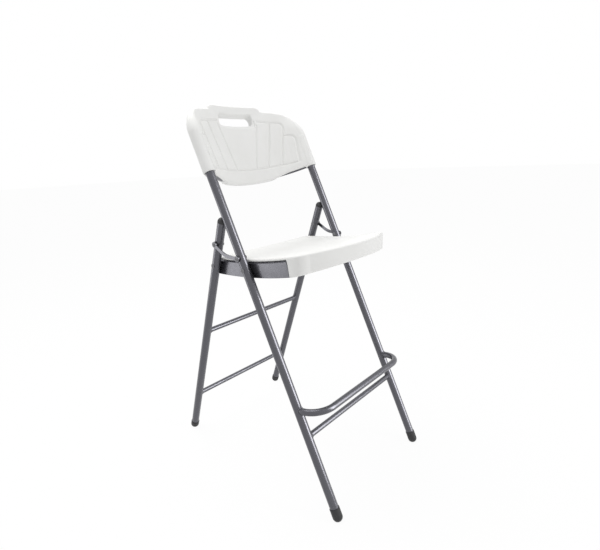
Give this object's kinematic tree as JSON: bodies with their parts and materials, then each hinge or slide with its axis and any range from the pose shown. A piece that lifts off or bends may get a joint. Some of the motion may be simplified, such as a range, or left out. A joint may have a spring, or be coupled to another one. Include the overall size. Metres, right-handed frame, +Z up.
{
  "type": "folding bar stool",
  "caption": "Folding bar stool with a grey tubular steel frame, a white moulded seat and backrest, a U-shaped footrest and a linked folding mechanism.",
  "frame": {"origin": "on the floor, at the middle of the box of the standing stool", "axes": "+Z up, front faces -Y, +X towards the sitter's left"},
  "size_m": [0.4702, 0.6954, 1.1232],
  "materials": {
    "white_plastic": "moulded, fine satin grain",
    "grey_steel": "grey powder coat with a soft metallic sheen",
    "black_plastic": "matt moulded",
    "black_nylon": "matt",
    "zinc_steel": "zinc plated"
  },
  "bodies": {
    "front_frame": {"front_leg_tube_left": "grey_steel", "front_leg_tube_right": "grey_steel", "front_foot_left": "black_plastic", "front_foot_right": "black_plastic", "back_panel": "white_plastic", "back_cross_tube": "grey_steel", "footrest_bar": "grey_steel", "front_cross_tube": "grey_steel", "seat_pivot_rivets": "zinc_steel", "seat_pivot_washers": "black_nylon", "link_low_rivets": "zinc_steel", "link_low_spacers": "black_nylon"},
    "seat": {"seat_shell": "white_plastic", "seat_rail_left": "grey_steel", "seat_rail_right": "grey_steel", "seat_cross_tube_front": "grey_steel", "seat_cross_tube_rear": "grey_steel"},
    "rear_frame": {"rear_leg_tube_left": "grey_steel", "rear_leg_tube_right": "grey_steel", "rear_foot_left": "black_plastic", "rear_foot_right": "black_plastic", "rear_top_cap_left": "black_plastic", "rear_top_cap_right": "black_plastic", "rear_cross_tube_upper": "grey_steel", "rear_cross_tube_lower": "grey_steel", "rear_pivot_rivets": "zinc_steel", "rear_pivot_washers": "black_nylon", "leg_rivets": "zinc_steel"},
    "links": {"link_left": "grey_steel", "link_right": "grey_steel", "link_top_rivets": "zinc_steel", "link_top_spacers": "black_nylon"}
  },
  "joints": [
    {"name": "seat_fold", "type": "hinge", "parent": "front_frame", "child": "seat", "pos_m": [0, -0.03499, 0.66], "axis": [-1, 0, 0], "range_deg": [0, 100.96]},
    {"name": "rear_leg_fold", "type": "hinge", "parent": "seat", "child": "rear_frame", "pos_m": [0, 0.0991, 0.655], "axis": [-1, 0, 0], "range_deg": [-56.36, 0]},
    {"name": "link_fold", "type": "hinge", "parent": "front_frame", "child": "links", "pos_m": [0, -0.02015, 0.69228], "axis": [-1, 0, 0], "range_deg": [0, 116.44]}
  ],
  "couplings": [
    {"joint": "rear_leg_fold", "follows": "seat_fold", "ratio": -0.55724},
    {"joint": "link_fold", "follows": "seat_fold", "ratio": 1.1523}
  ]
}
